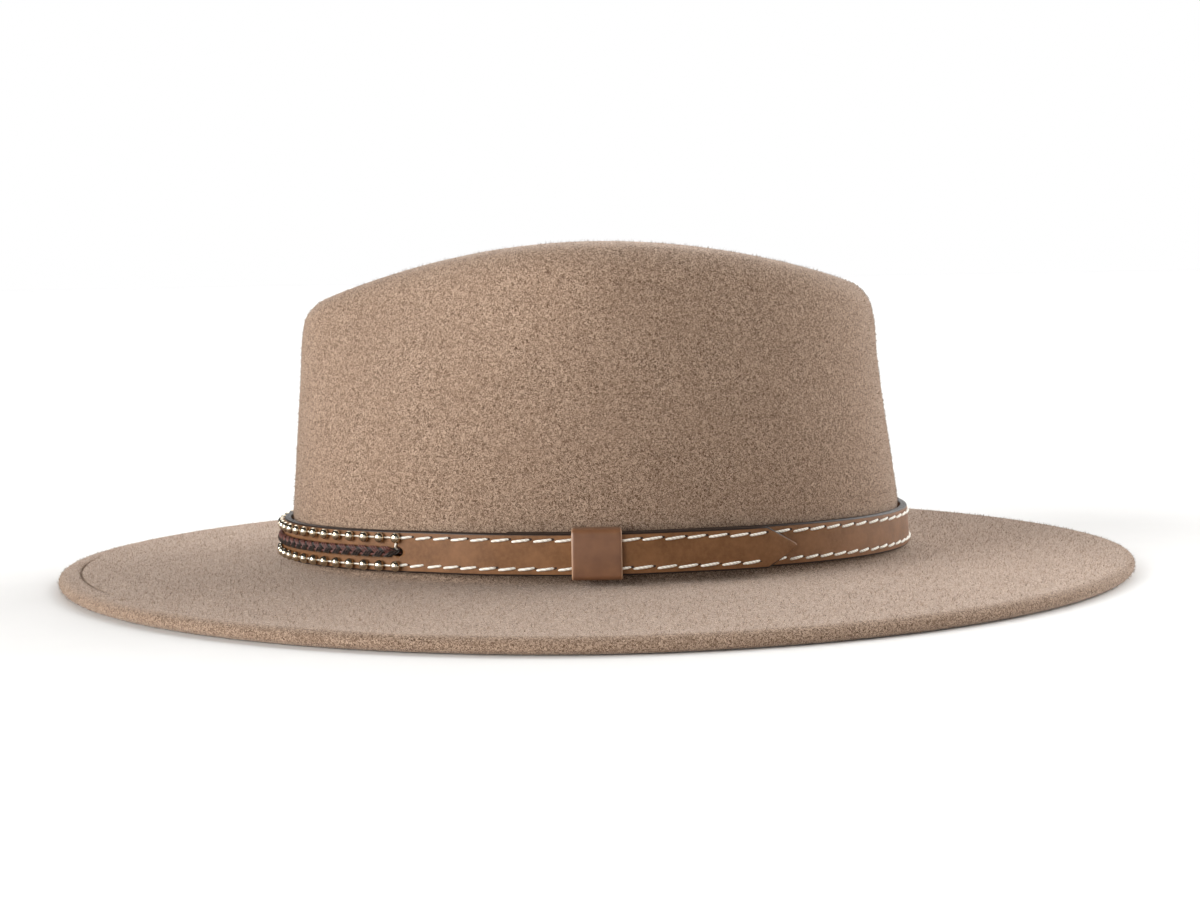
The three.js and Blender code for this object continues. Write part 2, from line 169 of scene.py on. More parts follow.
def skin(name, rings, material, ends=(None, None), capped=True, places=None, sharp=50):
    """Mesh over rings of equal length, in millimetres, with its ends closed to a middle point.
    Places are two numbers for each point, kept as the mesh's UV map."""
    rings = np.array(rings)
    rows, columns = rings.shape[:2]
    points = rings.reshape(-1, 3)
    k, i = np.meshgrid(np.arange(rows - 1), np.arange(columns), indexing="ij")
    a, b = k * columns + i, k * columns + (i + 1) % columns
    faces = np.stack([a, a + columns, b + columns, b], -1).reshape(-1, 4).tolist()
    if capped:
        middles = [
            rings[row].mean(0) if end is None else np.array(end, float)
            for row, end in zip((0, rows - 1), ends)
        ]
        points = np.concatenate([points, middles])
        first, last = rows * columns, (rows - 1) * columns
        for i in range(columns):
            after = (i + 1) % columns
            faces.append([first, i, after])
            faces.append([first + 1, last + after, last + i])
    mesh = bpy.data.meshes.new(name)
    mesh.from_pydata((points * MM).tolist(), [], faces)
    mesh.update()
    solid = bmesh.new()
    solid.from_mesh(mesh)
    if solid.calc_volume(signed=True) < 0:
        mesh.flip_normals()
    solid.free()
    mesh.shade_smooth()
    mesh.set_sharp_from_angle(angle=math.radians(sharp))
    if places is not None:
        flat = np.array(places, float).reshape(-1, 2)
        flat = np.concatenate([flat, flat[:1], flat[-1:]]) if capped else flat
        index = np.zeros(len(mesh.loops), int)
        mesh.loops.foreach_get("vertex_index", index)
        mesh.uv_layers.new(name="places").data.foreach_set("uv", flat[index].ravel())
    mesh.materials.append(material)
    piece = bpy.data.objects.new(name, mesh)
    bpy.context.scene.collection.objects.link(piece)
    return piece


def linear(colour):
    """Linear RGBA of an sRGB hex colour."""
    parts = [int(colour[i:i + 2], 16) / 255 for i in (1, 3, 5)]
    return [c / 12.92 if c <= 0.04045 else ((c + 0.055) / 1.055) ** 2.4 for c in parts] + [1]


def add(tree, kind, inputs=None, **settings):
    """A node with its settings, and its inputs set or linked."""
    node = tree.nodes.new("ShaderNode" + kind)
    for name, value in settings.items():
        setattr(node, name, value)
    for name, value in (inputs or {}).items():
        if isinstance(value, bpy.types.NodeSocket):
            tree.links.new(value, node.inputs[name])
        else:
            node.inputs[name].default_value = value
    return node


# Brushed wool felt: matt, with a short nap of fine hairs that lie every way, so it is mottled at a
# distance and shines faintly where the light grazes it. The real fibres are some 0.02 mm thick and
# are drawn in tufts of 0.6 mm, or they wouldn't show.
FIBRE = 0.6
TUFT = 1.5
PATCH = 16
felt = bpy.data.materials.new("brushed_wool_felt")
felt.use_nodes = True
tree = felt.node_tree
surface = tree.nodes["Principled BSDF"]
place = add(tree, "TexCoord").outputs["Object"]
place = add(tree, "Mapping", {"Vector": place, "Scale": (1 / MM,) * 3}).outputs["Vector"]
fibres = add(tree, "TexNoise", {"Vector": place, "Scale": 1 / FIBRE, "Detail": 2.5, "Roughness": 0.65,
                                "Distortion": 1.6}).outputs["Fac"]
tufts = add(tree, "TexNoise", {"Vector": place, "Scale": 1 / TUFT, "Detail": 2, "Roughness": 0.6,
                               "Distortion": 0.8}).outputs["Fac"]
patches = add(tree, "TexNoise", {"Vector": place, "Scale": 1 / PATCH, "Detail": 2}).outputs["Fac"]
grain = add(tree, "MapRange", {"Value": fibres, "From Min": 0.41, "From Max": 0.59}).outputs["Result"]
shade = add(tree, "Mix", {"Factor": grain, "A": linear("#533E2F"), "B": linear("#C2A892")},
            data_type="RGBA").outputs["Result"]
tuft_share = add(tree, "MapRange", {"Value": tufts, "From Min": 0.3, "From Max": 0.7,
                                    "To Max": 0.35}).outputs["Result"]
shade = add(tree, "Mix", {"Factor": tuft_share, "A": shade, "B": linear("#7A604B")},
            data_type="RGBA").outputs["Result"]
patch_share = add(tree, "MapRange", {"Value": patches, "From Min": 0.3, "From Max": 0.7,
                                     "To Max": 0.2}).outputs["Result"]
shade = add(tree, "Mix", {"Factor": patch_share, "A": shade, "B": linear("#8C725E")},
            data_type="RGBA").outputs["Result"]
# Painted shade: the fine line's dark colour stands in for the shade in its shallow groove.
line_painted_shade = add(tree, "Attribute", attribute_name="fine_line_painted_shade").outputs["Fac"]
shade = add(tree, "Mix", {"Factor": line_painted_shade, "A": shade, "B": linear("#584230")},
            data_type="RGBA").outputs["Result"]
relief = add(tree, "Math", {0: fibres, 1: tufts}, operation="ADD").outputs["Value"]
bump = add(tree, "Bump", {"Height": relief, "Strength": 0.55, "Distance": 0.25 * MM}).outputs["Normal"]
tree.links.new(shade, surface.inputs["Base Color"])
tree.links.new(bump, surface.inputs["Normal"])
surface.inputs["Roughness"].default_value = 0.95
surface.inputs["Specular IOR Level"].default_value = 0.2
surface.inputs["Sheen Weight"].default_value = 0.45
surface.inputs["Sheen Roughness"].default_value = 0.4
surface.inputs["Sheen Tint"].default_value = linear("#EFE0D4")

round_turn = TURN * np.arange(FELT_COLUMNS) / FELT_COLUMNS
top = 2 * FELT
welt_line = welt(round_turn, WELT_WIDTH, top)
foot = break_line(round_turn)
brim_rings = [
    np.concatenate([mix(welt_line, foot, across)[:, :2], mix(welt_line, foot, rise)[:, 2:]], 1)
    for across, rise in BRIM_ROWS
]
wall_rings = [wall(round_turn, height) for height in WALL_ROWS[:, 0]]
dent_floor = np.array([DENT_CENTRE, 0, CROWN_HEIGHT - DENT_DEPTH])
dent_rings = [
    mix(wall_rings[-1], dent_floor, np.array([across, across, drop])) for across, drop in DENT_ROWS
]
outside = finer(brim_rings + wall_rings + dent_rings, FELT_STEP)
meridian = np.gradient(outside, axis=0)
along = np.roll(outside, -1, 1) - np.roll(outside, 1, 1)
normal = np.cross(along, meridian)
normal /= np.linalg.norm(normal, axis=2, keepdims=True)
inside = (outside - normal * FELT)[::2]
inside[0] = welt(round_turn, WELT_WIDTH, FELT)
from_middle = np.degrees(np.arccos(-np.cos(round_turn - math.radians(LINE_MIDDLE))))
line_share = 1 - smooth((from_middle - LINE_REACH) / LINE_FADE)
line_rows = ((1, 0), (0.5, 0.7), (0, 1), (-0.5, 0.7), (-1, 0))
groove = [
    welt(round_turn, LINE_PLACE + offset * LINE_HALF, top - LINE_DEPTH * depth * line_share)
    for offset, depth in line_rows
]
flat_top = [welt(round_turn, distance, top) for distance in (6, 4.7)]
fold = []
for t in np.radians([0, 12, 25, 40, 55, 70, 82, 90, 98, 110, 125, 140, 155, 168, 180]):
    reach = ROUND_TOP if t < TURN / 4 else ROUND_UNDER
    fold.append(welt(round_turn, reach * (1 - math.sin(t)), FELT * (1 + math.cos(t))))
under = [welt(round_turn, distance, 0) for distance in (5, WELT_WIDTH)]
sheet = np.concatenate([outside[::-1], groove, flat_top, fold, under, inside])
floor_under = dent_floor - (0, 0, FELT)
felt_body = skin("felt_body_blocked", sheet, felt, ends=(dent_floor, floor_under))
# Painted shade of the fine line, as a share of its dark colour at each point of the sheet.
line = np.zeros((len(sheet), FELT_COLUMNS))
for row, (offset, depth) in enumerate(line_rows, len(outside)):
    line[row] = LINE_PAINTED_SHADE * depth * line_share
felt_body.data.attributes.new("fine_line_painted_shade", "FLOAT", "POINT").data.foreach_set(
    "value", np.append(line, (0, 0))
)
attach(felt_body, "root")
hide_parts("felt_body")

# Nap: loose ends of wool that were brushed up off the felt. The real ones are 0.02 mm thick. They are
# drawn fewer and 0.16 mm thick, as spikes, or they wouldn't show.
HAIR_LENGTH = 0.9
HAIR_RADIUS = 0.08
HAIR_LEAN = 1.1  # of a hair's sideways share to its upright one
HAIRS_ON_BRIM, HAIRS_ON_CROWN = 45000, 45000


def nap(name, rings, hairs, seed):
    """Three-sided spikes, spread evenly over rings that run inwards from the brim's edge."""
    chance = np.random.default_rng(seed)
    across, round_it = rings[1:] - rings[:-1], np.roll(rings, -1, 1) - rings
    out = np.cross(round_it[:-1], across)
    area = np.linalg.norm(out, axis=2)
    out /= np.maximum(area, 1e-9)[..., None]
    chosen = chance.choice(area.size, hairs, p=area.ravel() / area.sum())
    row, column = np.divmod(chosen, area.shape[1])
    u, v = chance.random((2, hairs, 1))
    base = rings[row, column] + across[row, column] * u + round_it[row, column] * v
    out = out[row, column]
    way = out + HAIR_LEAN * chance.normal(0, 0.6, (hairs, 3))
    way /= np.linalg.norm(way, axis=1, keepdims=True)
    side = np.cross(way, chance.normal(0, 1, (hairs, 3)))
    side /= np.linalg.norm(side, axis=1, keepdims=True)
    front = np.cross(way, side)
    tip = base + way * HAIR_LENGTH * chance.uniform(0.5, 1.2, (hairs, 1))
    tip[:, 2] = np.maximum(tip[:, 2], 0)  # none goes into the table
    corners = [
        base - out * 2 * HAIR_RADIUS + HAIR_RADIUS * (math.cos(t) * side + math.sin(t) * front)
        for t in (0, TURN / 3, 2 * TURN / 3)
    ]
    points = np.stack(corners + [tip], 1).reshape(-1, 3)
    spike = np.array([(0, 2, 1), (0, 1, 3), (1, 2, 3), (2, 0, 3)])
    faces = (4 * np.arange(hairs)[:, None, None] + spike).reshape(-1, 3)
    mesh = bpy.data.meshes.new(name)
    mesh.from_pydata((points * MM).tolist(), [], faces.tolist())
    mesh.materials.append(felt)
    piece = bpy.data.objects.new(name, mesh)
    bpy.context.scene.collection.objects.link(piece)
    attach(piece, "root")


brim_end = len(finer(brim_rings + wall_rings[:1], FELT_STEP))
nap("felt_nap_on_brim", np.concatenate([fold[::-1], flat_top[::-1], outside[:brim_end]]), HAIRS_ON_BRIM, 1)
nap("felt_nap_on_crown", outside[brim_end:], HAIRS_ON_CROWN, 2)

# Strap of the hatband: two layers of vegetable-tanned leather, cut 13 mm wide, glued and stitched,
# with rounded edges painted dark brown. It goes once round the crown and laps over its own start on
# the wearer's left, where its pointed end shows. Two oval holes are punched for the braid.
STRAP_HEIGHT = 13
STRAP_THICKNESS = 2.4
STRAP_GAP = 0.65
LAP_GAP = 0.3
TIP_PLACE = 59.6
TIP_LENGTH = 10
TIP_HEIGHT = 1.7
LAP_PLACE = 27
LAP_RAMP = 30
KEEPER_WIDTH = 14.8
KEEPER_THICKNESS = 1
KEEPER_RAMP = 22
HOLE_PLACE = 61.2
HOLE_LENGTH = 4.5
HOLE_HEIGHT = 3.2
ROUNDING = 0.55  # of the painted edges
SEAM = 0.12  # depth of the joint between the two layers
STRAP_STEP = 2.2

turns = np.linspace(0, TURN, 3601)


def wall_at(a, z):
    foot_z, top_z = break_line(a)[..., 2], ridge_line(a)[..., 2]
    return wall(a, (z - foot_z) / (top_z - foot_z))


def strap_middle(a):
    return break_line(a)[..., 2] + STRAP_GAP + STRAP_HEIGHT / 2


def outward(a):
    nudge = 0.01
    height = strap_middle(a)
    along = wall_at(a + nudge, height) - wall_at(a - nudge, height)
    out = np.stack([along[..., 1], -along[..., 0], 0 * along[..., 0]], -1)
    return out / np.linalg.norm(out, axis=-1, keepdims=True)


def strap_point(a, out, above):
    """Point at a distance out from the felt and a height above the strap's middle."""
    a = np.asarray(a, float)
    return wall_at(a, strap_middle(a) + above) + outward(a) * np.asarray(out)[..., None]


path = strap_point(turns, STRAP_GAP + STRAP_THICKNESS, 0)
lengths = np.append(0, np.cumsum(np.linalg.norm(np.diff(path, axis=0), axis=1)))
ROUND = lengths[-1]
left = turns >= TURN / 2


def left_turn(x):
    """Angle on the wearer's left at which the strap's inner face has this x."""
    inner = strap_point(turns[left], STRAP_GAP, 0)[:, 0]
    return np.interp(x, inner, turns[left])


def to_length(a):
    return ROUND * np.floor(a / TURN) + np.interp(a % TURN, turns, lengths)


def to_turn(length):
    return TURN * np.floor(length / ROUND) + np.interp(length % ROUND, lengths, turns)


keeper_turn = left_turn(0)
keeper_half = to_turn(to_length(keeper_turn) + KEEPER_WIDTH / 2) - keeper_turn
keeper_reach = to_turn(to_length(keeper_turn) + KEEPER_WIDTH / 2 + KEEPER_RAMP) - keeper_turn
lap_start = left_turn(-LAP_PLACE)
tip_turn = left_turn(TIP_PLACE) + TURN
ramp_start = to_turn(to_length(lap_start) - LAP_RAMP) + TURN
hole_turn = left_turn(-HOLE_PLACE)


def strap_distance(a):
    """How far the strap's inner face stands off the felt, with room for the keeper and the lap."""
    near = 1 - smooth((np.abs(a % TURN - keeper_turn) - keeper_half) / (keeper_reach - keeper_half))
    lapped = smooth((a - ramp_start) / (lap_start + TURN - ramp_start))
    return STRAP_GAP + near * (KEEPER_THICKNESS + LAP_GAP) + lapped * (STRAP_THICKNESS + LAP_GAP)


# Painted edges: a few coats of edge paint over the two layers, dark, smooth and a little glossy.
# Vegetable-tanned leather: fine closed grain, waxed to a soft gloss, a warm brown that clouds
# darker in places. Its grain is drawn as pebbles of 0.4 mm, about the real size.
PEBBLE = 0.4
CLOUD = 9
strap_leather = bpy.data.materials.new("vegetable_tanned_leather")
strap_leather.use_nodes = True
tree = strap_leather.node_tree
surface = tree.nodes["Principled BSDF"]
place = add(tree, "TexCoord").outputs["Object"]
place = add(tree, "Mapping", {"Vector": place, "Scale": (1 / MM,) * 3}).outputs["Vector"]
pebbles = add(tree, "TexVoronoi", {"Vector": place, "Scale": 1 / PEBBLE}, feature="DISTANCE_TO_EDGE")
pebbles = pebbles.outputs["Distance"]
streaks = add(tree, "TexNoise", {"Vector": place, "Scale": 1 / 1.3, "Detail": 4, "Roughness": 0.6})
streaks = streaks.outputs["Fac"]
clouds = add(tree, "TexNoise", {"Vector": place, "Scale": 1 / CLOUD, "Detail": 3}).outputs["Fac"]
cloud_share = add(tree, "MapRange", {"Value": clouds, "From Min": 0.35, "From Max": 0.65}).outputs[0]
shade = add(tree, "Mix", {"Factor": cloud_share, "A": linear("#7F5838"), "B": linear("#6B482B")},
            data_type="RGBA").outputs["Result"]
streak_share = add(tree, "MapRange", {"Value": streaks, "From Min": 0.4, "From Max": 0.7,
                                      "To Max": 0.5}).outputs[0]
shade = add(tree, "Mix", {"Factor": streak_share, "A": shade, "B": linear("#8A6240")},
            data_type="RGBA").outputs["Result"]
above = add(tree, "SeparateXYZ", {0: add(tree, "UVMap", uv_map="places").outputs["UV"]}).outputs["Y"]
above = add(tree, "Math", {0: above}, operation="ABSOLUTE").outputs["Value"]
paint_share = add(tree, "MapRange", {
    "Value": above, "From Min": STRAP_HEIGHT / 2 - 0.65, "From Max": STRAP_HEIGHT / 2 - 0.5,
}).outputs[0]
shade = add(tree, "Mix", {"Factor": paint_share, "A": shade, "B": linear("#2C221D")},
            data_type="RGBA").outputs["Result"]
height = add(tree, "MapRange", {"Value": pebbles, "From Max": 0.25}).outputs[0]
height = add(tree, "Math", {0: height, 1: streaks, 2: streaks}, operation="MULTIPLY_ADD").outputs[0]
bump = add(tree, "Bump", {"Height": height, "Strength": 0.35, "Distance": 0.08 * MM}).outputs["Normal"]
gloss = add(tree, "MapRange", {"Value": streaks, "To Min": 0.42, "To Max": 0.6}).outputs[0]
gloss = add(tree, "Math", {0: paint_share, 1: -0.15, 2: gloss}, operation="MULTIPLY_ADD").outputs[0]
tree.links.new(shade, surface.inputs["Base Color"])
tree.links.new(bump, surface.inputs["Normal"])
tree.links.new(gloss, surface.inputs["Roughness"])
surface.inputs["Specular IOR Level"].default_value = 0.2


def strip_profile(half, thickness=STRAP_THICKNESS):
    """Section of the strap, from the middle of its inner face round: out, above."""
    r = min(ROUNDING, half - 0.05)
    corner = np.radians([0, 22.5, 45, 67.5])
    quarter = np.stack([thickness - r + r * np.cos(corner), half - r + r * np.sin(corner)], 1)
    seam = [(thickness / 2 + 0.22, half), (thickness / 2, half - SEAM), (thickness / 2 - 0.22, half)]
    inner = np.stack([r - r * np.sin(corner), half - r + r * np.cos(corner)], 1)
    rounded = np.concatenate([quarter, seam, inner, [(0, half - r)]])
    face = [(thickness + 0.06 * (1 - (k / 4) ** 2), (half - r) * k / 4) for k in range(4)]
    upper = np.concatenate([face, rounded])
    lower = upper[:0:-1] * (1, -1)
    return np.concatenate([upper, lower])


def strap_section(turn, half):
    section = strip_profile(half)
    points = strap_point(np.full(len(section), turn), strap_distance(turn) + section[:, 0], section[:, 1])
    spread = section[:, 1] * STRAP_HEIGHT / 2 / half
    return points, np.stack([np.full(len(section), to_length(turn)), spread], 1)


tip_corner = to_turn(to_length(tip_turn) - TIP_LENGTH)
count = round((to_length(tip_corner) - to_length(lap_start)) / STRAP_STEP)
stations = [(turn, STRAP_HEIGHT / 2) for turn in np.linspace(lap_start, tip_corner, count)]
for share in (0.2, 0.4, 0.6, 0.8, 0.92, 0.97, 1):
    half = mix(STRAP_HEIGHT, TIP_HEIGHT, share) / 2
    stations.append((mix(tip_corner, tip_turn, share), half))
stations.append((tip_turn + 0.0025, TIP_HEIGHT / 4))
rings, places = zip(*[strap_section(turn, half) for turn, half in stations])
strap = skin("hatband_strap_two_layers", rings, strap_leather, places=places)

for name, turn in (("left", hole_turn), ("right", TURN - hole_turn)):
    out, middle = outward(turn), strap_point(turn, STRAP_GAP + STRAP_THICKNESS / 2, 0)
    side = np.array([-out[1], out[0], 0])
    rim = np.linspace(0, TURN, 32, endpoint=False)[:, None]
    oval_rim = side * np.cos(rim) * HOLE_LENGTH / 2 + np.array([0, 0, 1]) * np.sin(rim) * HOLE_HEIGHT / 2
    both_ends = [middle + oval_rim + out * k * 2 * STRAP_THICKNESS for k in (-1, 1)]
    punch = skin("punch", both_ends, strap_leather)
    cut = strap.modifiers.new("hole_" + name, "BOOLEAN")
    cut.object = punch
    cut.solver = "EXACT"
    bpy.context.view_layer.update()
    cut_mesh = bpy.data.meshes.new_from_object(strap.evaluated_get(bpy.context.evaluated_depsgraph_get()))
    strap.modifiers.clear()
    strap.data = cut_mesh
    bpy.data.objects.remove(punch)
strap.name = "hatband_strap_two_layers"
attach(strap, "root")
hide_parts("hatband_strap")

# Keeper: a loop of smooth leather round both layers of the strap, closed with glue behind them. Its
# cut edges are left raw and are paler than its face.
KEEPER_ROUND = 1.6  # corner of the loop
KEEPER_EDGE = 0.3

keeper_leather = bpy.data.materials.new("smooth_calf_leather")
keeper_leather.use_nodes = True
tree = keeper_leather.node_tree
surface = tree.nodes["Principled BSDF"]
place = add(tree, "TexCoord").outputs["Object"]
place = add(tree, "Mapping", {"Vector": place, "Scale": (1 / MM,) * 3}).outputs["Vector"]
pores = add(tree, "TexNoise", {"Vector": place, "Scale": 1 / 0.3, "Detail": 3}).outputs["Fac"]
clouds = add(tree, "TexNoise", {"Vector": place, "Scale": 1 / 5, "Detail": 3}).outputs["Fac"]
cloud_share = add(tree, "MapRange", {"Value": clouds, "From Min": 0.3, "From Max": 0.7}).outputs[0]
shade = add(tree, "Mix", {"Factor": cloud_share, "A": linear("#80583C"), "B": linear("#704B34")},
            data_type="RGBA").outputs["Result"]
across = add(tree, "SeparateXYZ", {0: add(tree, "UVMap", uv_map="places").outputs["UV"]}).outputs["X"]
across = add(tree, "Math", {0: across}, operation="ABSOLUTE").outputs["Value"]
raw_share = add(tree, "MapRange", {
    "Value": across, "From Min": KEEPER_WIDTH / 2 - 0.5, "From Max": KEEPER_WIDTH / 2 - 0.2,
    "To Max": 0.8,
}).outputs[0]
shade = add(tree, "Mix", {"Factor": raw_share, "A": shade, "B": linear("#B08A6C")},
            data_type="RGBA").outputs["Result"]
bump = add(tree, "Bump", {"Height": pores, "Strength": 0.25, "Distance": 0.06 * MM}).outputs["Normal"]
tree.links.new(shade, surface.inputs["Base Color"])
tree.links.new(bump, surface.inputs["Normal"])
surface.inputs["Roughness"].default_value = 0.4


def rounded_box(low, high, half, radius, steps=5):
    """Closed line round a box in the strap's section, with round corners: out and above."""
    line = []
    for k, (x, z) in enumerate(((high, half), (low, half), (low, -half), (high, -half))):
        start = k * TURN / 4
        cx = x - radius if x == high else x + radius
        cz = z - radius if z == half else z + radius
        for t in np.linspace(start, start + TURN / 4, steps):
            line.append((cx + radius * math.cos(t), cz + radius * math.sin(t)))
    return np.array(line)


keeper_low = STRAP_GAP
keeper_high = STRAP_GAP + 2 * STRAP_THICKNESS + 3 * LAP_GAP + 2 * KEEPER_THICKNESS
keeper_tall = STRAP_HEIGHT / 2 + LAP_GAP + KEEPER_THICKNESS


def keeper_ring(offset, shrink):
    low, high = keeper_low + shrink, keeper_high - shrink
    line = rounded_box(low, high, keeper_tall - shrink, KEEPER_ROUND)
    turn = to_turn(to_length(keeper_turn) + offset)
    points = strap_point(np.full(len(line), turn), line[:, 0], line[:, 1])
    return points, np.stack([np.full(len(line), offset), line[:, 1]], 1)


wide = KEEPER_WIDTH / 2
keeper_rows = [(-wide, KEEPER_EDGE), (-wide + KEEPER_EDGE, 0.0)]
keeper_rows += [(offset, 0.0) for offset in np.linspace(-wide + 1, wide - 1, 9)]
keeper_rows += [(wide - KEEPER_EDGE, 0.0), (wide, KEEPER_EDGE)]
inner = KEEPER_THICKNESS
keeper_rows += [(wide, inner - 0.1), (wide - 0.2, inner), (-wide + 0.2, inner), (-wide, inner - 0.1)]
keeper_rows.append(keeper_rows[0])
rings, places = zip(*[keeper_ring(offset, shrink) for offset, shrink in keeper_rows])
keeper = skin("keeper_loop_leather", rings, keeper_leather, capped=False, places=places)
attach(keeper, "root")
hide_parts("keeper_loop")

# Seams: two rows of waxed linen saddle stitches, sewn by hand, so their length varies a little.
# Each rises a little towards the back and goes down through a pricked hole.
SEAM_HEIGHT = STRAP_HEIGHT / 2 - 2.1
THREAD_RADIUS = 0.44
STITCH_GAP = 0.7
STITCH_RISE = 0.34
HOLE_RADIUS = 0.5
# above the strap's middle, layer, first, last, pitch. Places are lengths from the left hole round
# the back. Layer 1 is the lap's outer one, and a row without a last place ends at the right hole.
SEAM_ROWS = (
    (4.4, 1, 0.1, 59.3, 6.55),
    (-4.3, 1, -1.3, 61.0, 6.08),
    (4.4, 1, 72.2, 118.8, 6.72),
    (-4.3, 1, 69.2, 115.9, 6.77),
    (4.4, 0, 122.4, None, 6.9),
    (-4.3, 0, 121.4, None, 6.1),
)

thread = bpy.data.materials.new("waxed_linen_thread")
thread.use_nodes = True
tree = thread.node_tree
surface = tree.nodes["Principled BSDF"]
place = add(tree, "TexCoord").outputs["Object"]
place = add(tree, "Mapping", {"Vector": place, "Scale": (1 / MM,) * 3}).outputs["Vector"]
plies = add(tree, "TexWave", {"Vector": place, "Scale": 1 / 2.6, "Distortion": 0.5},
            bands_direction="DIAGONAL").outputs["Fac"]
shade = add(tree, "Mix", {"Factor": plies, "A": linear("#DDD5C6"), "B": linear("#FBF7EE")},
            data_type="RGBA").outputs["Result"]
bump = add(tree, "Bump", {"Height": plies, "Strength": 0.5, "Distance": 0.08 * MM}).outputs["Normal"]
tree.links.new(shade, surface.inputs["Base Color"])
tree.links.new(bump, surface.inputs["Normal"])
surface.inputs["Roughness"].default_value = 0.6

# Pricked hole: painted shade of the hole and its torn leather fibres, on a thin disc over the leather,
# matt, nearly black and mottled.
pricked = bpy.data.materials.new("pricked_hole_painted_shade")
pricked.use_nodes = True
tree = pricked.node_tree
place = add(tree, "TexCoord").outputs["Object"]
place = add(tree, "Mapping", {"Vector": place, "Scale": (1 / MM,) * 3}).outputs["Vector"]
hole_shade_mottle = add(tree, "TexNoise", {"Vector": place, "Scale": 1 / 0.2, "Detail": 2}).outputs["Fac"]
shade = add(tree, "Mix", {"Factor": hole_shade_mottle, "A": linear("#1E130C"), "B": linear("#3C281B")},
            data_type="RGBA").outputs["Result"]
tree.links.new(shade, tree.nodes["Principled BSDF"].inputs["Base Color"])
tree.nodes["Principled BSDF"].inputs["Roughness"].default_value = 0.9


def face(a):
    """Distance of the strap's outer face from the felt."""
    return strap_distance(a) + STRAP_THICKNESS


def tube(centres, outs, ups, radius, sides=8):
    """Rings round a line of points, given two directions across it."""
    around = TURN * np.arange(sides) / sides
    radius = np.broadcast_to(radius, len(centres))
    return [
        c + r * (np.cos(around)[:, None] * o + np.sin(around)[:, None] * u)
        for c, o, u, r in zip(centres, outs, ups, radius)
    ]


def join(name, parts):
    """One piece of several closed meshes."""
    with bpy.context.temp_override(active_object=parts[0], selected_editable_objects=parts):
        bpy.ops.object.join()
    parts[0].name = name
    return parts[0]


def stitch(start, length, above):
    """A thread that leaves one hole, arches over the leather and goes into the next."""
    share = np.linspace(0, 1, 9)
    a = to_turn(start + length * share)
    arch = np.sin(share * math.pi)
    out = face(a) - 0.3 + 0.55 * arch**0.5
    centres = strap_point(a, out, above + STITCH_RISE * (2 * share - 1))
    radius = THREAD_RADIUS * (0.7 + 0.3 * arch**0.4)
    up = np.tile([0, 0, 1], (len(a), 1))
    return skin("stitch", tube(centres, outward(a), up, radius), thread)


# A thin disc of painted shade over each hole, where a stitch goes into the leather.
def pricking(place, above):
    around = TURN * np.arange(10) / 10
    a = to_turn(place + 1.25 * HOLE_RADIUS * np.cos(around))
    height = above + 0.8 * HOLE_RADIUS * np.sin(around)
    rings = [strap_point(a, face(a) + lift, height) for lift in (-0.2, 0.03)]
    return skin("pricking", rings, pricked)


left_hole = to_length(hole_turn)
right_hole = to_length(TURN - hole_turn) + ROUND
stitches, prickings = [], []
chance = np.random.default_rng(3)
for above, layer, first, last, pitch in SEAM_ROWS:
    end = right_hole - 1.8 if last is None else left_hole + layer * ROUND + last
    for start in np.arange(left_hole + layer * ROUND + first, end - pitch + STITCH_GAP, pitch):
        start += chance.uniform(-0.3, 0.3)
        length = pitch - STITCH_GAP + chance.uniform(-0.3, 0.3)
        stitches.append(stitch(start, length, above + chance.uniform(-0.1, 0.1)))
        prickings.append(pricking(start + length + 0.2, above + STITCH_RISE))
stitching = join("seam_stitches", stitches)
stitch_holes = join("seam_prickings_painted_shade", prickings)
for piece in (stitching, stitch_holes):
    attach(piece, "root")

# Studs: round nickel-plated heads on both seams round the front, held by the seam thread that shows
# between them.
STUD_RADIUS = 1.7
STUD_PITCH = 6.4
# radius and height of the head's outline, as shares
STUD_PROFILE = (
    (0.78, 0.0), (0.95, 0.18), (1.0, 0.38), (0.94, 0.6), (0.78, 0.79), (0.52, 0.93), (0.24, 0.99),
)
STUD_HEIGHT = 2.3
STUD_THREAD = 0.27
END_THREAD = 0.36

# Nickel plate: bright and polished, a little warm, with fine wear that softens its reflections.
nickel = bpy.data.materials.new("nickel_plate")
nickel.use_nodes = True
tree = nickel.node_tree
surface = tree.nodes["Principled BSDF"]
place = add(tree, "TexCoord").outputs["Object"]
place = add(tree, "Mapping", {"Vector": place, "Scale": (1 / MM,) * 3}).outputs["Vector"]
wear = add(tree, "TexNoise", {"Vector": place, "Scale": 1 / 0.5, "Detail": 3}).outputs["Fac"]
gloss = add(tree, "MapRange", {"Value": wear, "To Min": 0.12, "To Max": 0.3}).outputs[0]
shade = add(tree, "Mix", {"Factor": wear, "A": linear("#E6DCC8"), "B": linear("#CDBFA4")},
            data_type="RGBA").outputs["Result"]
tree.links.new(shade, surface.inputs["Base Color"])
tree.links.new(gloss, surface.inputs["Roughness"])
surface.inputs["Metallic"].default_value = 1

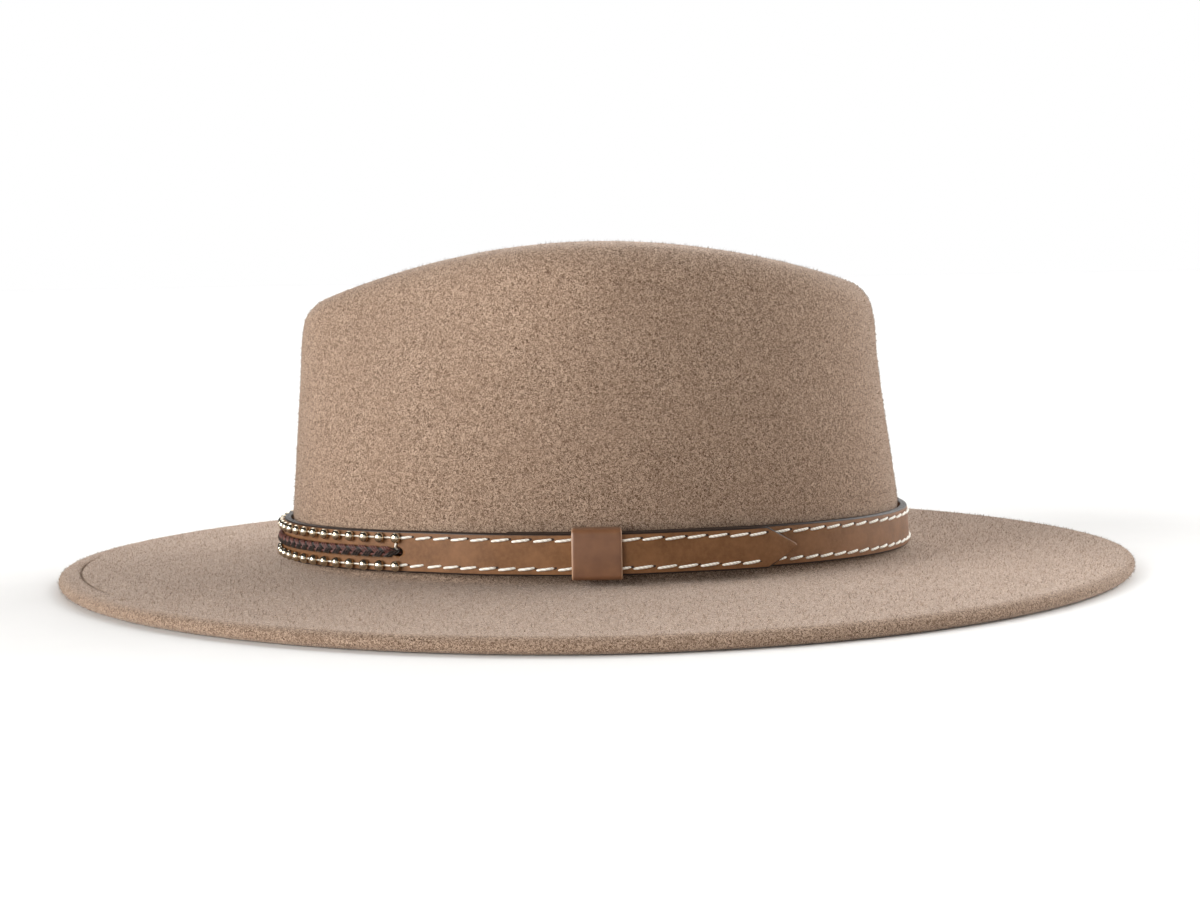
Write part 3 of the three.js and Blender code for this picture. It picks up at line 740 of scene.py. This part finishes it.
start, end = to_length(TURN - hole_turn), to_length(hole_turn)
stud_count = round((end - start) / STUD_PITCH)
stud_places = np.linspace(start, end, stud_count + 1)
for name, above in (("upper", SEAM_HEIGHT), ("lower", -SEAM_HEIGHT)):
    heads = []
    around = TURN * np.arange(20) / 20
    for stud in stud_places:
        turn = to_turn(stud)
        out = outward(turn)
        side, up = np.array([-out[1], out[0], 0]), np.array([0, 0, 1])
        base = strap_point(turn, face(turn) + 0.05, above)
        ring = np.cos(around)[:, None] * side + np.sin(around)[:, None] * up
        rings = [base + ring * r * STUD_RADIUS + out * z * STUD_HEIGHT for r, z in STUD_PROFILE]
        heads.append(skin("head", rings, nickel, ends=(base, base + out * STUD_HEIGHT)))
    studs = join("studs_" + name, heads)
    a = to_turn(np.linspace(start, end, 6 * stud_count + 1))
    centres = strap_point(a, face(a) + 0.25, above)
    up = np.tile([0, 0, 1], (len(a), 1))
    row_thread = skin("stud_thread_" + name, tube(centres, outward(a), up, STUD_THREAD), thread)
    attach(studs, "root")
    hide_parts("stud_row_" + name)
    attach(row_thread, "root")

# The upper seam's thread goes on from the last stud on each side down into the hole.
share = np.linspace(0, 1, 9)
ends = []
for place, way in ((start, 1), (end, -1)):
    a = to_turn(place + way * 0.9 * share)
    out = face(a) + 0.3 - 1.6 * smooth((share - 0.6) / 0.4)
    up = np.tile([0, 0, 1], (len(a), 1))
    centres = strap_point(a, out, SEAM_HEIGHT - 1 - 3 * share)
    side = np.stack([-outward(a)[:, 1], outward(a)[:, 0], 0 * a], 1)
    ends.append(skin("thread_end", tube(centres, outward(a), side, END_THREAD), thread))
thread_ends = join("thread_ends", ends)
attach(thread_ends, "root")

# Braid: a round braid of four strands, two dark red ones that wind one way and two black ones that
# wind the other way, each of three thin waxed cords. It comes out of one oval hole, lies along the
# middle of the strap round the front and goes into the other.
CORD_RADIUS = 0.34
CORD_STEP = 1.05  # along the braid, between the cords of a strand
BRAID_TURN = 9.2  # in which a strand winds once round
BRAID_RISE, BRAID_DEPTH = 1.2, 0.65
BRAID_WEAVE = 0.26  # how far a strand goes out over the others and in under them
BRAID_DIVE = 3.2
BRAID_TWIST = 25  # degrees from the top to where two strands first cross

cords = {}
for name, dark, light in (("black", "#0F0C0A", "#4E4743"), ("dark_red", "#43231F", "#86554B")):
    # Waxed polyester cord: tightly laid, dark, with a soft waxy shine along each cord.
    cord = bpy.data.materials.new("waxed_cord_" + name)
    cord.use_nodes = True
    tree = cord.node_tree
    surface = tree.nodes["Principled BSDF"]
    place = add(tree, "TexCoord").outputs["Object"]
    place = add(tree, "Mapping", {"Vector": place, "Scale": (1 / MM,) * 3}).outputs["Vector"]
    lay = add(tree, "TexNoise", {"Vector": place, "Scale": 1 / 0.35, "Detail": 3}).outputs["Fac"]
    lay_share = add(tree, "MapRange", {"Value": lay, "From Min": 0.35, "From Max": 0.65}).outputs[0]
    shade = add(tree, "Mix", {"Factor": lay_share, "A": linear(dark), "B": linear(light)},
                data_type="RGBA").outputs["Result"]
    bump = add(tree, "Bump", {"Height": lay, "Strength": 0.6, "Distance": 0.1 * MM}).outputs["Normal"]
    tree.links.new(shade, surface.inputs["Base Color"])
    tree.links.new(bump, surface.inputs["Normal"])
    surface.inputs["Roughness"].default_value = 0.5
    cords[name] = cord

s = np.append(np.arange(start, end, 0.4), end)
a = to_turn(s)
open_share = smooth(np.minimum(s - start, end - s) / BRAID_DIVE)
out_way = outward(a)
up = np.tile([0, 0, 1.0], (len(a), 1))
twist = math.radians(BRAID_TWIST)
strands = []
for name, way, over in (("dark_red", 1, 1), ("black", -1, -1)):
    for k in range(6):
        half, cord = k // 3, k % 3 - 1
        angle = way * TURN * (s - start + cord * CORD_STEP) / BRAID_TURN + half * TURN / 2 + twist
        weave = over * BRAID_WEAVE * np.cos(angle + TURN / 8 - twist)
        above = (BRAID_RISE * mix(0.7, 1, open_share) + weave) * np.cos(angle)
        out = face(a) + CORD_RADIUS + BRAID_DEPTH + (BRAID_DEPTH + weave) * np.sin(angle)
        out = out - (1 - open_share) * (STRAP_THICKNESS + BRAID_DEPTH)
        centres = strap_point(a, out, above)
        strands.append(skin("strand", tube(centres, out_way, up, CORD_RADIUS, 6), cords[name]))
braid = join("braid_of_four_strands", strands)
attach(braid, "root")
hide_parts("front_braid")

# Table: a wide matt board, painted white. It runs on to the horizon.
table_paint = bpy.data.materials.new("matt_white_paint")
table_paint.use_nodes = True
tree = table_paint.node_tree
place = add(tree, "TexCoord").outputs["Object"]
roller = add(tree, "TexNoise", {"Vector": place, "Scale": 60, "Detail": 2}).outputs["Fac"]
shade = add(tree, "Mix", {"Factor": roller, "A": linear("#F3F2F0"), "B": linear("#F6F5F3")},
            data_type="RGBA").outputs["Result"]
tree.links.new(shade, tree.nodes["Principled BSDF"].inputs["Base Color"])
tree.nodes["Principled BSDF"].inputs["Roughness"].default_value = 0.85
table_mesh = bpy.data.meshes.new("table")
reach = 60.0
table_mesh.from_pydata(
    [(-reach, -reach, 0), (reach, -reach, 0), (reach, reach, 0), (-reach, reach, 0)], [], [(0, 1, 2, 3)]
)
table_mesh.materials.append(table_paint)
table = bpy.data.objects.new("table", table_mesh)
table.location.z = -0.0003
bpy.context.scene.collection.objects.link(table)

# Light: a white room, with wide soft lights: the strongest low on the left, two on the right, one
# behind and above, and a weak one in front.
world = bpy.data.worlds.new("white_room")
world.use_nodes = True
tree = world.node_tree
room = tree.nodes["Background"]
room.inputs["Color"].default_value = linear("#FFFFFF")
room.inputs["Strength"].default_value = 0.03
seen = add(tree, "Background", {"Color": linear("#FFFFFF"), "Strength": 1.0}).outputs["Background"]
straight = add(tree, "LightPath").outputs["Is Camera Ray"]
wall_light = add(tree, "MixShader", {0: straight, 1: room.outputs["Background"], 2: seen})
tree.links.new(wall_light.outputs["Shader"], tree.nodes["World Output"].inputs["Surface"])
bpy.context.scene.world = world
# name, direction that it shines from, breadth in degrees, strength
for name, source, breadth, strength in (
    ("soft_light_left", (-1.0, -0.5, 0.19), 50, 5.3),
    ("soft_light_right", (1.0, 0.2, 0.45), 50, 2.6),
    ("soft_light_right_behind", (1.0, 0.9, 0.6), 50, 1.2),
    ("soft_light_behind", (0.0, 1.0, 0.9), 60, 1.8),
    ("soft_light_front", (0.0, -1.0, 0.1), 60, 0.5),
):
    lamp = bpy.data.lights.new(name, "SUN")
    lamp.angle = math.radians(breadth)
    lamp.energy = strength
    holder = bpy.data.objects.new(name, lamp)
    holder.rotation_mode = "QUATERNION"
    holder.rotation_quaternion = Vector(source).to_track_quat("Z", "Y")
    bpy.context.scene.collection.objects.link(holder)

# Camera: level with the brim and a little above it, in front of the wearer's left side.
CAMERA_PLACE = (0, -0.6922, 0.09974)
CAMERA_DOWN = 4.8969  # degrees
CAMERA_AZIMUTH = 0.1416
CAMERA_ROLL = 0.9916
FOCAL = 1998.7  # in pixels of an image that is 1200 wide
camera_data = bpy.data.cameras.new("camera")
camera_data.sensor_width = 36
camera_data.lens = 36 * FOCAL / 1200
camera = bpy.data.objects.new("camera", camera_data)
camera.location = CAMERA_PLACE
camera.rotation_mode = "QUATERNION"
turned = Euler((math.radians(90 - CAMERA_DOWN), 0, -math.radians(CAMERA_AZIMUTH))).to_quaternion()
camera.rotation_quaternion = turned @ Quaternion((0, 0, 1), -math.radians(CAMERA_ROLL))
bpy.context.scene.collection.objects.link(camera)
bpy.context.scene.camera = camera
bpy.context.scene.view_settings.view_transform = "Standard"
bpy.context.scene.view_settings.look = "None"
